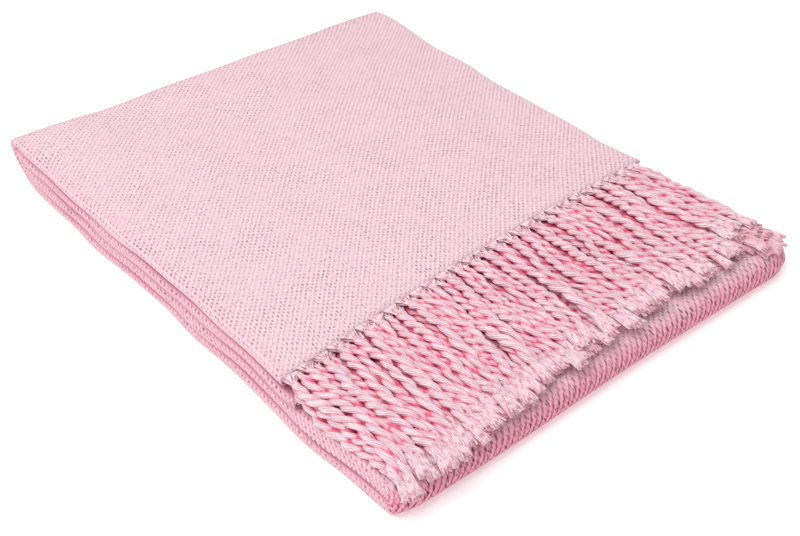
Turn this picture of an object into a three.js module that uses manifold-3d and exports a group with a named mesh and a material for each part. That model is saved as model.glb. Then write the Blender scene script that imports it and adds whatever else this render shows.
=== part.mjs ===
// A fringed cotton throw, folded in half four times and lying flat.
// It is folded lengthwise twice, which gives four plies, and then crosswise twice, which gives four
// strips of those plies on top of each other. Millimetres, +Z up.
// +X runs along the folded length to the fold that lies under the fringe, and +Y across the width.

import * as THREE from 'three';
import Module from 'manifold-3d';

const wasm = await Module();
wasm.setup();

// Folded size
const LENGTH = 430;
const WIDTH = 320;

// Cloth: a ply is the twill with its loft, and the gaps are the air between plies and between strips
const PLY = 1.9;
const PLY_GAP = 0.5;
const PLIES = 4;
const STRIP_GAP = 0.6;
const CLEAR = 0.3;

// The selvedges stop a little short of, or past, the tight bend beside them
const UNDER_SELVEDGE_SETBACK = 1.5;
const INNER_SELVEDGE_REACH = 0.8;

// Facets around each kind of bend
const FAR_FACETS = 7;
const NEAR_FACETS = 6;
const WIDE_FACETS = 5;
const TIGHT_FACETS = 4;

// Fringe
const TASSELS_A_PLY = 28;
const TASSEL_SPREAD = 12;
const TASSEL_WIDTH = 4.2;
const TASSEL_BEND = 0.6;
const THINS_FROM = 0.1;
const ROOT_WIDTH = 2.4;
const ROOT_HEIGHT = 1;
const GATHER = 13;
const HEADING = 3.5;
const SIDE_MARGIN = 3;
const OVERHANG = 2;

// The fringed ends of the cloth: their place at mid width, and how askew they lie across it
const TOP_END = { place: 316, tassel: 109 };
const UNDER_END = { place: 328, tassel: 99 };
const END_SLANT = -0.068;
const END_BOW = 0.0002;

// Worked out from the above
const PLY_PITCH = PLY + PLY_GAP;
const STRIP = PLIES * PLY + (PLIES - 1) * PLY_GAP;
const LEVEL = STRIP + STRIP_GAP;
const SMALL_BEND = LEVEL / 2;
const LARGE_BEND = 1.5 * LEVEL;
const HALF_WIDTH = WIDTH / 2;

const clamp01 = (t) => Math.min(1, Math.max(0, t));
const mix = (a, b, t) => a + (b - a) * t;

// Uneven but repeatable shares from 0 to 1, by steps of the golden ratio
const scatter = (seed) => (seed * 0.61803) % 1;

// Middle height of a strip, counted from 0 at the bottom to 3 at the top
const stripHeight = (level) => STRIP / 2 + level * LEVEL;

// Height of a ply's middle over the middle of its strip, counted from 0 at the outside of the folds
const plyOffset = (ply) => ((PLIES - 1) / 2 - ply) * PLY_PITCH;

// A smooth curve through a short table: the named column at a place along it
function eased(rows, key, at, column) {
  const next = Math.max(1, rows.findIndex((row) => row[key] >= at));
  const [from, to] = at > rows.at(-1)[key] ? rows.slice(-2) : rows.slice(next - 1, next + 1);
  const share = clamp01((at - from[key]) / (to[key] - from[key]));
  return mix(from[column], to[column], share * share * (3 - 2 * share));
}

// Softening
// The folded cloth is uneven. How far each side and the top stand out from the straight, along it:
const SIDES = [
  { x: 0, left: -5.5, right: 2, loft: -0.01 },
  { x: 34, left: 0, right: 5.5, loft: 0.02 },
  { x: 105, left: 1.5, right: 0.5, loft: 0 },
  { x: 190, left: 0, right: -1, loft: 0.025 },
  { x: 262, left: -0.5, right: -1.5, loft: -0.01 },
  { x: 352, left: 1.8, right: 0, loft: 0.01 },
  { x: 430, left: -1.5, right: -3, loft: -0.015 },
];
const CORNER_SAG = { reach: 45, share: 0.05 };
const FAR_SKEW = 2;
const NEAR_BOW = 1.5;

// One smooth map bends every layer alike, and leaves the underside flat
function soften([x, y, z]) {
  const side = y / HALF_WIDTH;
  const left = eased(SIDES, 'x', x, 'left');
  const right = eased(SIDES, 'x', x, 'right');
  const skew = FAR_SKEW * side * (1 - x / LENGTH) - NEAR_BOW * Math.sin(1.6 * side) * (x / LENGTH);
  const loft = eased(SIDES, 'x', x, 'loft') * (1 - side ** 2);
  const nearEnd = Math.max(1 - x / CORNER_SAG.reach, 1 - (LENGTH - x) / CORNER_SAG.reach);
  const sag = CORNER_SAG.share * clamp01(nearEnd) ** 2 * side ** 4;
  return [x + skew, y + mix(-left, right, (side + 1) / 2), z * (1 + loft - sag)];
}

// The crosswise folds
// A station is a point on the middle line of a strip, seen from the side, with the direction of its
// outer face. Stations on a fringed end lie askew across the width.
function* run(level, facing, places) {
  for (const place of places) {
    yield { x: place.x, askew: place.askew ?? false, z: stripHeight(level), nx: 0, nz: facing };
  }
}

function* bend(centreX, centreZ, radius, fromDeg, toDeg, facing, steps) {
  for (let step = 1; step < steps; step++) {
    const angle = THREE.MathUtils.degToRad(mix(fromDeg, toDeg, step / steps));
    const [c, s] = [Math.cos(angle), Math.sin(angle)];
    yield { x: centreX + radius * c, z: centreZ + radius * s, nx: facing * c, nz: facing * s };
  }
}

const FAR_CENTRE = LARGE_BEND + STRIP / 2;
const NEAR_CENTRE = LENGTH - SMALL_BEND - STRIP / 2;
const FAR_HEIGHT = (stripHeight(0) + stripHeight(3)) / 2;
const NEAR_HEIGHT = (stripHeight(0) + stripHeight(1)) / 2;

const INNER_PLACES = [80, 140, 200, 258];
const NEAR_PLACES = [310, 354, 392];
const at = (xs) => xs.map((x) => ({ x }));
const topEnd = { x: TOP_END.place, askew: true };
const underEnd = { x: UNDER_END.place, askew: true };
const half = at([FAR_CENTRE, ...INNER_PLACES]);
const whole = at([FAR_CENTRE, ...INNER_PLACES, ...NEAR_PLACES, NEAR_CENTRE]);

const ROUTE = [
  ...run(3, 1, [topEnd, ...half.toReversed()]),
  ...bend(FAR_CENTRE, FAR_HEIGHT, LARGE_BEND, 90, 270, 1, FAR_FACETS),
  ...run(0, -1, whole),
  ...bend(NEAR_CENTRE, NEAR_HEIGHT, SMALL_BEND, 270, 450, 1, NEAR_FACETS),
  ...run(1, 1, whole.toReversed()),
  ...bend(FAR_CENTRE, FAR_HEIGHT, SMALL_BEND, 270, 90, -1, FAR_FACETS),
  ...run(2, -1, [...half, underEnd]),
];

// A point of the folded cloth, softened: its place across the width, its height over the strip's
// middle, and its station.
const endDrift = (y) => END_SLANT * y + END_BOW * y * y;

function foldedPoint(y, offset, station) {
  const x = station.x + (station.askew ? endDrift(y) : 0) + offset * station.nx;
  return soften([x, y, station.z + offset * station.nz]);
}

// The lengthwise folds
// Seen from the end of a strip, the cloth winds inward: selvedge, wide bend on the left, outer ply,
// tight bend on the right, next ply, tight bend inside the wide one, selvedge.
const WIDE_BEND = 1.5 * PLY_PITCH;
const TIGHT_BEND = PLY_PITCH / 2;
const LEFT_CENTRE = -HALF_WIDTH + STRIP / 2;
const RIGHT_CENTRE = HALF_WIDTH - TIGHT_BEND - PLY / 2;
const RUNS_ACROSS = 4;

function acrossPlaces(end) {
  const places = [];
  for (let step = 0; step <= RUNS_ACROSS; step++) {
    places.push(step < RUNS_ACROSS ? mix(LEFT_CENTRE, RIGHT_CENTRE, step / RUNS_ACROSS) : end);
  }
  return places;
}

const flatPly = (ply, places, facing) =>
  places.map((y) => ({ y, offset: plyOffset(ply), ny: 0, no: facing }));

function roundBend(centreY, centreOffset, radius, fromDeg, toDeg, facing, steps) {
  const points = [];
  for (let step = 1; step < steps; step++) {
    const angle = THREE.MathUtils.degToRad(mix(fromDeg, toDeg, step / steps));
    const [c, s] = [Math.cos(angle), Math.sin(angle)];
    const middle = { y: centreY + radius * c, offset: centreOffset + radius * s };
    points.push({ ...middle, ny: facing * c, no: facing * s });
  }
  return points;
}

const UNDER_SELVEDGE = RIGHT_CENTRE - UNDER_SELVEDGE_SETBACK;
const INNER_SELVEDGE = RIGHT_CENTRE + INNER_SELVEDGE_REACH;

const SECTION = [
  ...flatPly(3, acrossPlaces(UNDER_SELVEDGE).toReversed(), -1),
  ...roundBend(LEFT_CENTRE, 0, WIDE_BEND, 270, 90, 1, WIDE_FACETS),
  ...flatPly(0, acrossPlaces(RIGHT_CENTRE), 1),
  ...roundBend(RIGHT_CENTRE, PLY_PITCH, TIGHT_BEND, 90, -90, 1, TIGHT_FACETS),
  ...flatPly(1, acrossPlaces(RIGHT_CENTRE).toReversed(), -1),
  ...roundBend(LEFT_CENTRE, 0, TIGHT_BEND, 90, 270, -1, WIDE_FACETS),
  ...flatPly(2, acrossPlaces(INNER_SELVEDGE), 1),
];

// Closed bodies from rows and columns of points
function bodyOf(points, quads) {
  const triangles = quads.flatMap(([a, b, c, d]) => [a, b, c, a, c, d]);
  return { points, triangles };
}

// A sheet with two faces: pointAt(row, column, face) gives each corner, with face 1 outward.
function sheetBody(rows, columns, pointAt) {
  const points = [];
  for (let row = 0; row < rows; row++) {
    for (let column = 0; column < columns; column++) {
      points.push(pointAt(row, column, -1), pointAt(row, column, 1));
    }
  }
  const index = (row, column, face) => 2 * (row * columns + column) + face;
  const quads = [];
  for (let r = 0; r + 1 < rows; r++) {
    for (let c = 0; c + 1 < columns; c++) {
      quads.push([index(r, c, 0), index(r + 1, c, 0), index(r + 1, c + 1, 0), index(r, c + 1, 0)]);
      quads.push([index(r, c, 1), index(r, c + 1, 1), index(r + 1, c + 1, 1), index(r + 1, c, 1)]);
    }
    const last = columns - 1;
    quads.push([index(r, 0, 0), index(r, 0, 1), index(r + 1, 0, 1), index(r + 1, 0, 0)]);
    quads.push([index(r, last, 0), index(r + 1, last, 0), index(r + 1, last, 1), index(r, last, 1)]);
  }
  for (let c = 0; c + 1 < columns; c++) {
    const last = rows - 1;
    quads.push([index(0, c, 0), index(0, c + 1, 0), index(0, c + 1, 1), index(0, c, 1)]);
    quads.push([index(last, c, 0), index(last, c, 1), index(last, c + 1, 1), index(last, c + 1, 0)]);
  }
  return bodyOf(points, quads);
}

// A four-sided strand through rings of four corners.
function strandBody(rings) {
  const quads = [];
  for (let ring = 0; ring + 1 < rings.length; ring++) {
    for (let side = 0; side < 4; side++) {
      const next = (side + 1) % 4;
      quads.push([4 * ring + side, 4 * ring + next, 4 * ring + 4 + next, 4 * ring + 4 + side]);
    }
  }
  const tip = 4 * (rings.length - 1);
  quads.push([3, 2, 1, 0], [tip, tip + 1, tip + 2, tip + 3]);
  return bodyOf(rings.flat(), quads);
}

function geometryOf({ points, triangles }) {
  const geometry = new THREE.BufferGeometry();
  geometry.setAttribute('position', new THREE.Float32BufferAttribute(points.flat(), 3));
  geometry.setIndex(triangles);
  geometry.computeVertexNormals();
  return geometry;
}

function joined(bodies) {
  const solids = bodies.map(({ points, triangles }) => new wasm.Manifold(new wasm.Mesh({
    numProp: 3,
    vertProperties: new Float32Array(points.flat()),
    triVerts: new Uint32Array(triangles),
  })));
  const mesh = solids.reduce((whole, solid) => whole.add(solid)).getMesh();
  const geometry = new THREE.BufferGeometry();
  geometry.setAttribute('position', new THREE.Float32BufferAttribute(mesh.vertProperties, 3));
  geometry.setIndex([...mesh.triVerts]);
  geometry.computeVertexNormals();
  return geometry;
}

// The cloth
function clothGeometry() {
  return geometryOf(sheetBody(ROUTE.length, SECTION.length, (row, column, face) => {
    const { y, offset, ny, no } = SECTION[column];
    const shift = (face * PLY) / 2;
    return foldedPoint(y + shift * ny, offset + shift * no, ROUTE[row]);
  }));
}

// The fringe
// Each ply has its own row of tassels. The tassels of two plies share one layer of the pile, side
// by side, and the four layers thin out and sink towards their tips.
const FRINGES = [
  { name: 'fringe_top_1', end: TOP_END, level: 3, facing: 1, ply: 0, layer: 3, side: 0 },
  { name: 'fringe_top_2', end: TOP_END, level: 3, facing: 1, ply: 1, layer: 3, side: 1 },
  { name: 'fringe_top_3', end: TOP_END, level: 3, facing: 1, ply: 2, layer: 2, side: 0 },
  { name: 'fringe_top_4', end: TOP_END, level: 3, facing: 1, ply: 3, layer: 2, side: 1 },
  { name: 'fringe_under_4', end: UNDER_END, level: 2, facing: -1, ply: 3, layer: 1, side: 0 },
  { name: 'fringe_under_3', end: UNDER_END, level: 2, facing: -1, ply: 2, layer: 1, side: 1 },
  { name: 'fringe_under_2', end: UNDER_END, level: 2, facing: -1, ply: 1, layer: 0, side: 0 },
  { name: 'fringe_under_1', end: UNDER_END, level: 2, facing: -1, ply: 0, layer: 0, side: 1 },
];

const LAYER = 2 * PLY_PITCH;
const TIP_LAYER = 2.9;
const LAYER_GAP = 0.45;
const TASSEL_PITCH = (WIDTH - 2 * SIDE_MARGIN) / TASSELS_A_PLY;
const RIPPLE = { depth: 1, across: 25 };

// The pile splays: how far the tips lie to the right of their roots, across the width
const SPLAY = [
  { side: -1, drift: -2 },
  { side: -0.3, drift: -9 },
  { side: 0.3, drift: -6 },
  { side: 1, drift: 8 },
];

// The pile lies on the second strip from the bottom
const REST_HEIGHT = stripHeight(1) + STRIP / 2 + CLEAR;

function headingBody({ end, level, facing, ply }) {
  const places = acrossPlaces(UNDER_SELVEDGE);
  const middle = stripHeight(level) + facing * plyOffset(ply);
  return sheetBody(2, places.length, (row, column, face) => {
    const y = places[column];
    const x = end.place + endDrift(y) + CLEAR + (1 - row) * HEADING;
    return soften([x, y, middle + (face * PLY) / 2]);
  });
}

function tasselBody({ end, level, facing, ply, layer, side }, number) {
  const root = -HALF_WIDTH + SIDE_MARGIN + TASSEL_PITCH * (number + 0.25 + side / 2);
  const start = end.place + endDrift(root) + CLEAR;
  const rootHeight = stripHeight(level) + facing * plyOffset(ply);
  const wanted = end.tassel + TASSEL_SPREAD * (scatter(number + 3.7 * layer + 9 * side) - 0.5);
  const reach = Math.min(wanted, LENGTH + OVERHANG - start);
  const splay = eased(SPLAY, 'side', root / HALF_WIDTH, 'drift');
  const ripple = RIPPLE.depth * Math.sin(root / RIPPLE.across + 2 * layer);
  const rings = [];
  for (const along of [HEADING / 3, GATHER, TASSEL_BEND * reach, reach]) {
    const x = start + along;
    const gathered = clamp01((along - HEADING / 3) / (GATHER - HEADING / 3));
    const share = along / end.tassel;
    const thick = mix(LAYER, TIP_LAYER, clamp01((share - THINS_FROM) / (1 - THINS_FROM)));
    const z = mix(rootHeight, REST_HEIGHT + (layer + 0.5) * thick, gathered);
    const halfWidth = mix(ROOT_WIDTH, TASSEL_WIDTH, gathered) / 2;
    const halfHeight = mix(ROOT_HEIGHT, thick - LAYER_GAP, gathered) / 2;
    const y = root + (splay + ripple) * share ** 2;
    rings.push([
      soften([x, y - halfWidth, z]),
      soften([x, y, z - halfHeight]),
      soften([x, y + halfWidth, z]),
      soften([x, y, z + halfHeight]),
    ]);
  }
  return strandBody(rings);
}

function fringeGeometry(fringe) {
  const bodies = [headingBody(fringe)];
  for (let number = 0; number < TASSELS_A_PLY; number++) {
    bodies.push(tasselBody(fringe, number));
  }
  return joined(bodies);
}

// Colours
const CLOTH_PINK = new THREE.MeshStandardMaterial({ color: 0xf3c3d2, roughness: 0.95, metalness: 0 });
const YARN_PINK = new THREE.MeshStandardMaterial({ color: 0xee9db4, roughness: 0.92, metalness: 0 });

function named(name, geometry, material) {
  const mesh = new THREE.Mesh(geometry, material);
  mesh.name = name;
  return mesh;
}

const throwGroup = new THREE.Group();
throwGroup.add(named('cloth', clothGeometry(), CLOTH_PINK));
for (const fringe of FRINGES) {
  throwGroup.add(named(fringe.name, fringeGeometry(fringe), YARN_PINK));
}

// The origin is under the middle of the whole
const box = new THREE.Box3().setFromObject(throwGroup);
throwGroup.position.set(-(box.min.x + box.max.x) / 2, -(box.min.y + box.max.y) / 2, -box.min.z);

export default throwGroup;
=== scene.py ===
"""A folded cotton throw with a twisted fringe, lying flat on a pale floor.

Sizes are in millimetres here, and go into the meshes in metres.
"""

import math

import bpy
import numpy as np
from mathutils import Matrix, Vector


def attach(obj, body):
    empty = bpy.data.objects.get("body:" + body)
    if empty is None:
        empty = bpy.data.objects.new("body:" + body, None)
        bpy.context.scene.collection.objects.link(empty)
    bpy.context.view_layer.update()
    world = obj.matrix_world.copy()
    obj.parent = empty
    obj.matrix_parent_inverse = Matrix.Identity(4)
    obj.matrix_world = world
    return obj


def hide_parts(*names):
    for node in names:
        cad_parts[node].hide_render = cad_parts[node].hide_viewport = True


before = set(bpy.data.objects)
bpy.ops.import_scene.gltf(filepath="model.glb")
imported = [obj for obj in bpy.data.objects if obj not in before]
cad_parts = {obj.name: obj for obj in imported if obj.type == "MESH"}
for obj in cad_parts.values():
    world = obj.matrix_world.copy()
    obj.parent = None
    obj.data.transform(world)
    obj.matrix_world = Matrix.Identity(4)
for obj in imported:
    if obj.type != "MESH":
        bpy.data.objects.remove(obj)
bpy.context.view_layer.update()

# The cloth
# One woven cotton twill, folded lengthwise in half twice into four plies, and then crosswise in half
# twice into four strips. It has its own selvedges and no hem, so its folds are all that holds it.

MM = 0.001

# x runs from 0 at the far fold to LENGTH at the near fold, y from the middle of the width, and z up from
# the floor. The strips are counted from level 0 at the bottom to level 3 at the top.
LENGTH = 430
WIDTH = 320
HALF_WIDTH = WIDTH / 2
PLY = 1.9
PLY_PITCH = 2.54
LEVEL = 9.7
STRIP = 9.1
FAR_X = 1.5 * LEVEL + STRIP / 2
NEAR_X = LENGTH - LEVEL / 2 - STRIP / 2
LEFT_Y = -HALF_WIDTH + STRIP / 2
RIGHT_SETBACK = 2.15
RIGHT_Y = HALF_WIDTH - RIGHT_SETBACK
INNER_SELVEDGE_REACH = 0.8
UNDER_SELVEDGE_SETBACK = 1.5
SIDE_SQUARENESS = 3.2

# The fringed ends: their place at mid width, their slant and bow across it, how thin the plies get
# there, how close they draw together, and how far from the end that starts
TOP_END = 316
UNDER_END = 328
END_SLANT = -0.068
END_BOW = 0.0002
EDGE_THINNESS = 0.6
EDGE_SQUEEZE = 0.65
EDGE_REACH = 25

# How far each side stands out from the straight, and by what share the top lofts, along the throw
SIDES = [
    {"x": 0, "left": -3.5, "right": 2, "loft": -0.01},
    {"x": 34, "left": 0, "right": 4, "loft": 0.02},
    {"x": 105, "left": 1.5, "right": -3, "loft": 0},
    {"x": 190, "left": 0, "right": -4.5, "loft": 0.025},
    {"x": 275, "left": -0.5, "right": -5.5, "loft": -0.01},
    {"x": 352, "left": 1.8, "right": 4.5, "loft": 0.01},
    {"x": 430, "left": -0.8, "right": 17.5, "loft": -0.015},
]
FAR_SKEW = 2
NEAR_BOW = 4.6

# The four corners sag by a share of their height
CORNER_REACH = 45
CORNER_SAG = 0.05

# The far-left corner is also drawn out along the throw, more at its top and half way up, and its top
# droops. SIDE values are where across the half width it starts, LENGTH values how far along it fades.
CORNER_PULL = 5
TOP_CORNER_PULL = 4
MIDDLE_CORNER_PULL = 3
PULL_SIDE = 0.6
PULL_LENGTH = 70
CORNER_DROOP = 5
DROOP_SIDE = 0.65
DROOP_LENGTH = 40

# The near fold is pushed out a little, and its two corners are rounded off
NEAR_PUSH = 1.2
LEFT_ROUNDING = 4.5
RIGHT_ROUNDING = 5
ROUNDING_SIDE = 0.86
ROUNDING_LENGTH = 20

# The near-left side leans out at its top along its far half. Its lower beads are pressed flat at the
# near corner, and its middle puffs up beside the fringe.
LEAN = 1.5
LEAN_FADE_START = 150
LEAN_FADE_END = 330
PRESSED = 0.85
PRESSED_INSET = 1.2
PRESSED_LENGTH = 22
PUFF = 4
PUFF_SIDE = 0.86
PUFF_START = 340
PUFF_END = 428

# Small unevenness: how far the sides, from WANDER_SIDE of the half width out, the lines between the
# strips and the top wander
SIDE_WANDER = 0.9
WANDER_SIDE = 0.8
LINE_WANDER = 0.8
TOP_WANDER = 0.7

# The middle of the CAD's box in this script's x and y
MIDDLE_X = 215.6
MIDDLE_Y = 1.1


def smooth(value, low, high):
    """A smooth step from 0 at low to 1 at high: 3t^2 - 2t^3."""
    t = np.clip((value - low) / (high - low), 0, 1)
    return t * t * (3 - 2 * t)


def strip_height(level):
    """The middle height of the strip at a level."""
    return STRIP / 2 + level * LEVEL


def end_drift(y):
    """How far a fringed end lies along x from its place at mid width: a slant plus a bow in y."""
    return END_SLANT * y + END_BOW * y * y


def eased(rows, column, x):
    """A smooth curve through one column of a table: each pair of rows is joined by 3t^2 - 2t^3."""
    keys = np.array([row["x"] for row in rows], float)
    values = np.array([row[column] for row in rows], float)
    x = np.clip(x, keys[0], keys[-1])
    row = np.clip(np.searchsorted(keys, x) - 1, 0, len(rows) - 2)
    share = (x - keys[row]) / (keys[row + 1] - keys[row])
    return values[row] + (values[row + 1] - values[row]) * share**2 * (3 - 2 * share)


def wander(seed, length, *places):
    """Even noise between about -1 and 1: five sine waves near that length, in seeded directions."""
    local = np.random.default_rng(seed)
    total = 0
    for _ in range(5):
        direction = local.normal(size=len(places))
        direction /= np.linalg.norm(direction)
        stretch = local.uniform(0.7, 1.6) * length
        phase = local.uniform(0, 2 * math.pi)
        travel = sum(place * part for place, part in zip(places, direction))
        total = total + np.sin(2 * math.pi * travel / stretch + phase)
    return total / 2.5


def backward_shift(side, height, x):
    """How far places move towards the far end. The far-left corner moves by its pull, plus a share that
    grows with height and a sine half wave over it. The near fold moves out by its push, less the square
    of a smooth step into each corner."""
    middle = np.sin(math.pi * np.clip(height, 0, 1))
    pull = CORNER_PULL + TOP_CORNER_PULL * (2 * height - 1) + MIDDLE_CORNER_PULL * middle
    pull = pull * smooth(-side, PULL_SIDE, 1.0) * smooth(-x, -PULL_LENGTH, 0)
    left_corner = LEFT_ROUNDING * smooth(-side, ROUNDING_SIDE, 1.0) ** 2
    right_corner = RIGHT_ROUNDING * smooth(side, ROUNDING_SIDE, 1.0) ** 2
    rounding = left_corner + right_corner - NEAR_PUSH
    return pull + rounding * smooth(x, NEAR_X - ROUNDING_LENGTH, LENGTH)


def sideways_shift(side, height, x, y, z):
    """How far places move along y. Each side moves by its column in SIDES, by less towards the other
    side, and wanders near its edge. The near-left side leans by a share of its height about its middle,
    and its lower beads close in on one plane at the near corner."""
    shift = eased(SIDES, "right", x) * (1 + side) / 2 - eased(SIDES, "left", x) * (1 - side) / 2
    at_edge = np.clip((np.abs(side) - WANDER_SIDE) / (1 - WANDER_SIDE), 0, 1) ** 2
    shift = shift + SIDE_WANDER * at_edge * smooth(x, 0, 40) * wander(11, 70, x, 6 * z)
    leaning = 1 - smooth(x, LEAN_FADE_START, LEAN_FADE_END)
    shift = shift - LEAN * (2 * height - 1) * (1 - side) / 2 * leaning
    on_bead = smooth(-y, HALF_WIDTH - 12, HALF_WIDTH - 5)
    at_corner = smooth(x, NEAR_X - PRESSED_LENGTH, NEAR_X)
    in_lower_strips = smooth(-z, -2.2 * LEVEL, -1.9 * LEVEL)
    return shift + PRESSED * on_bead * at_corner * in_lower_strips * (PRESSED_INSET - HALF_WIDTH - y)


def upward_shift(side, height, x, y, z):
    """How far places move up. The top lofts and the corners sag by a share of z, the lines between the
    strips and the top wander, the near-left side puffs up by a sine half wave beside the fringe, and the
    top of the far-left corner droops."""
    loft = eased(SIDES, "loft", x) * (1 - side**2)
    near_end = np.clip(np.maximum(1 - x / CORNER_REACH, 1 - (LENGTH - x) / CORNER_REACH), 0, 1)
    sag = CORNER_SAG * near_end**2 * side**4
    lines = LINE_WANDER * np.sin(2 * math.pi * height) * wander(12, 95, x, 0.3 * y)
    bumps = TOP_WANDER * height * wander(13, 85, x, y)
    droop = CORNER_DROOP * smooth(-side, DROOP_SIDE, 1) * smooth(-x, -DROOP_LENGTH, 0)
    droop = droop * smooth(z, 2.4 * LEVEL, 4 * LEVEL)
    along_puff = np.clip((x - PUFF_START) / (PUFF_END - PUFF_START), 0, 1)
    puff = PUFF * smooth(-side, PUFF_SIDE, 0.98) * np.sin(math.pi * along_puff)
    puff = puff * smooth(z, 2, 2 * LEVEL) * (1 - 0.8 * smooth(z, 2 * LEVEL, 4 * LEVEL))
    return z * (loft - sag) + lines + bumps + puff - droop


def soften(x, y, z):
    """Bends straight folds into the soft shape: each place is moved along, sideways and up, and the ends
    skew and bow with y. The underside stays about flat."""
    side = y / HALF_WIDTH
    along = x / LENGTH
    height = z / (4 * LEVEL)
    skew = FAR_SKEW * side * (1 - along) - NEAR_BOW * smooth(side, -0.85, 0.25) * along
    soft_x = x + skew - backward_shift(side, height, x)
    soft_y = y + sideways_shift(side, height, x, y, z)
    soft_z = z + upward_shift(side, height, x, y, z)
    return np.stack([soft_x, soft_y, soft_z], -1)


def arc(centre, radius, start, end, count, squareness=2.0):
    """Points on a bend between two angles in degrees, without its ends: a superellipse of that power."""
    angles = np.radians(np.linspace(start, end, count + 1)[1:-1])
    c, s = np.cos(angles), np.sin(angles)
    power = 2 / squareness
    across = centre[0] + radius * np.sign(c) * np.abs(c) ** power
    up = centre[1] + radius * np.sign(s) * np.abs(s) ** power
    return np.stack([across, up], 1)


def run(start, end, height, count):
    """Points on a level stretch."""
    return np.stack([np.linspace(start, end, count), np.full(count, float(height))], 1)


def lengths_along(curve):
    """The length of a curve, or of each of many, up to each of its points."""
    steps = np.linalg.norm(np.diff(curve, axis=-2), axis=-1)
    return np.concatenate([np.zeros(steps.shape[:-1] + (1,)), np.cumsum(steps, -1)], -1)


def right_normals(curve):
    """Unit normals to the right of a flat curve."""
    way = np.gradient(curve, axis=0)
    way /= np.linalg.norm(way, axis=1, keepdims=True)
    return np.stack([way[:, 1], -way[:, 0]], 1)


def lengthwise_folds():
    """The four plies across the width: ply 3 at the bottom, round the near-left side to ply 0 on top,
    round the far-right side to ply 1, and round inside it to ply 2. Stretches that show have more points
    than those inside."""
    wide, tight = 1.5 * PLY_PITCH, PLY_PITCH / 2
    return np.concatenate([
        run(RIGHT_Y - UNDER_SELVEDGE_SETBACK, LEFT_Y, -wide, 14),
        arc((LEFT_Y, 0), wide, 270, 90, 18, SIDE_SQUARENESS),
        run(LEFT_Y, RIGHT_Y, wide, 66),
        arc((RIGHT_Y, 2 * tight), tight, 90, -90, 8),
        run(RIGHT_Y, LEFT_Y, tight, 14),
        arc((LEFT_Y, 0), tight, 90, 270, 6),
        run(LEFT_Y, RIGHT_Y + INNER_SELVEDGE_REACH, -tight, 14),
    ])


def crosswise_folds():
    """The four strips along the length: the top one from its fringed end to the far fold, the bottom
    one under it to the near fold, the next one back, and the last one out to its own fringed end. Also
    how far each place follows the slant of its strip's end, from 0 at the folds to 1 at the end."""
    far_height, near_height = strip_height(1.5), strip_height(0.5)
    parts = [
        run(TOP_END, FAR_X, strip_height(3), 66),
        arc((FAR_X, far_height), 1.5 * LEVEL, 90, 270, 26),
        run(FAR_X, NEAR_X, strip_height(0), 54),
        arc((NEAR_X, near_height), LEVEL / 2, 270, 450, 16),
        run(NEAR_X, FAR_X, strip_height(1), 54),
        arc((FAR_X, far_height), LEVEL / 2, 270, 90, 10),
        run(FAR_X, UNDER_END, strip_height(2), 30),
    ]
    curve = np.concatenate(parts)
    slanted = np.zeros(len(curve))
    top, under = len(parts[0]), len(parts[-1])
    slanted[:top] = np.linspace(1, 0, top)
    slanted[-under:] = np.linspace(0, 1, under)
    return curve, slanted


def cloth_grid(section, way, slanted):
    """Both faces of the cloth as one grid, and its UV. The lengthwise folds are carried along the
    crosswise ones: a ply's height over its strip's middle is laid off along the strip's normal. The outer
    face lies half a ply out from the middle surface and the inner face half a ply in. Towards the
    fringed ends the plies thin and draw closer together."""
    section_out = -right_normals(section)
    way_out = right_normals(way)
    travel = lengths_along(way)
    from_end = np.minimum(travel, travel[-1] - travel)[:, None]
    inside = smooth(from_end, 0, EDGE_REACH)
    thickness = EDGE_THINNESS + (1 - EDGE_THINNESS) * inside
    squeeze = EDGE_SQUEEZE + (1 - EDGE_SQUEEZE) * inside
    faces = []
    for half in (PLY / 2, -PLY / 2):
        y = section[:, 0][None, :] + half * thickness * section_out[:, 0][None, :]
        rise = section[:, 1][None, :] * squeeze + half * thickness * section_out[:, 1][None, :]
        x = way[:, :1] + way_out[:, :1] * rise + slanted[:, None] * end_drift(y)
        z = way[:, 1:] + way_out[:, 1:] * rise
        faces.append(soften(x, y, z))
    u = -travel[:, None] + 0 * y
    v = lengths_along(section)[None, :] + 0 * y
    return faces, np.stack([u, v], -1)


# How far the yarns part and painted shade deepens the colour on the folds' outer rounds, and where up a
# bead the painted shade in its crease with the next bead starts and is full
BEAD_PARTING_AND_SHADE = 0.4
TOP_BEAD_LOSS = 0.25
FAR_PARTING_AND_SHADE = 0.5
CREASE_SHADE_START = 0.68
CREASE_SHADE_FULL = 0.97


def yarn_parting_and_shade(section, way):
    """How far the yarns part, and how much painted shade deepens and darkens the colour, at each place: 1
    round the near fold, its own share round the far fold and another on the near-left beads but less on
    the top one, and 0 on the flats."""
    on_bead = smooth(-section[:, 0], HALF_WIDTH - 8, HALF_WIDTH - 2)[None, :]
    on_top = smooth(way[:, 1], strip_height(2.4), strip_height(3))
    bead = on_bead * (BEAD_PARTING_AND_SHADE - TOP_BEAD_LOSS * on_top)[:, None]
    near_fold = smooth(way[:, 0], NEAR_X - 2, NEAR_X + 6)
    far_fold = FAR_PARTING_AND_SHADE * smooth(-way[:, 0], -FAR_X, 12 - FAR_X)
    return np.maximum(bead, np.maximum(near_fold, far_fold)[:, None])


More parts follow.
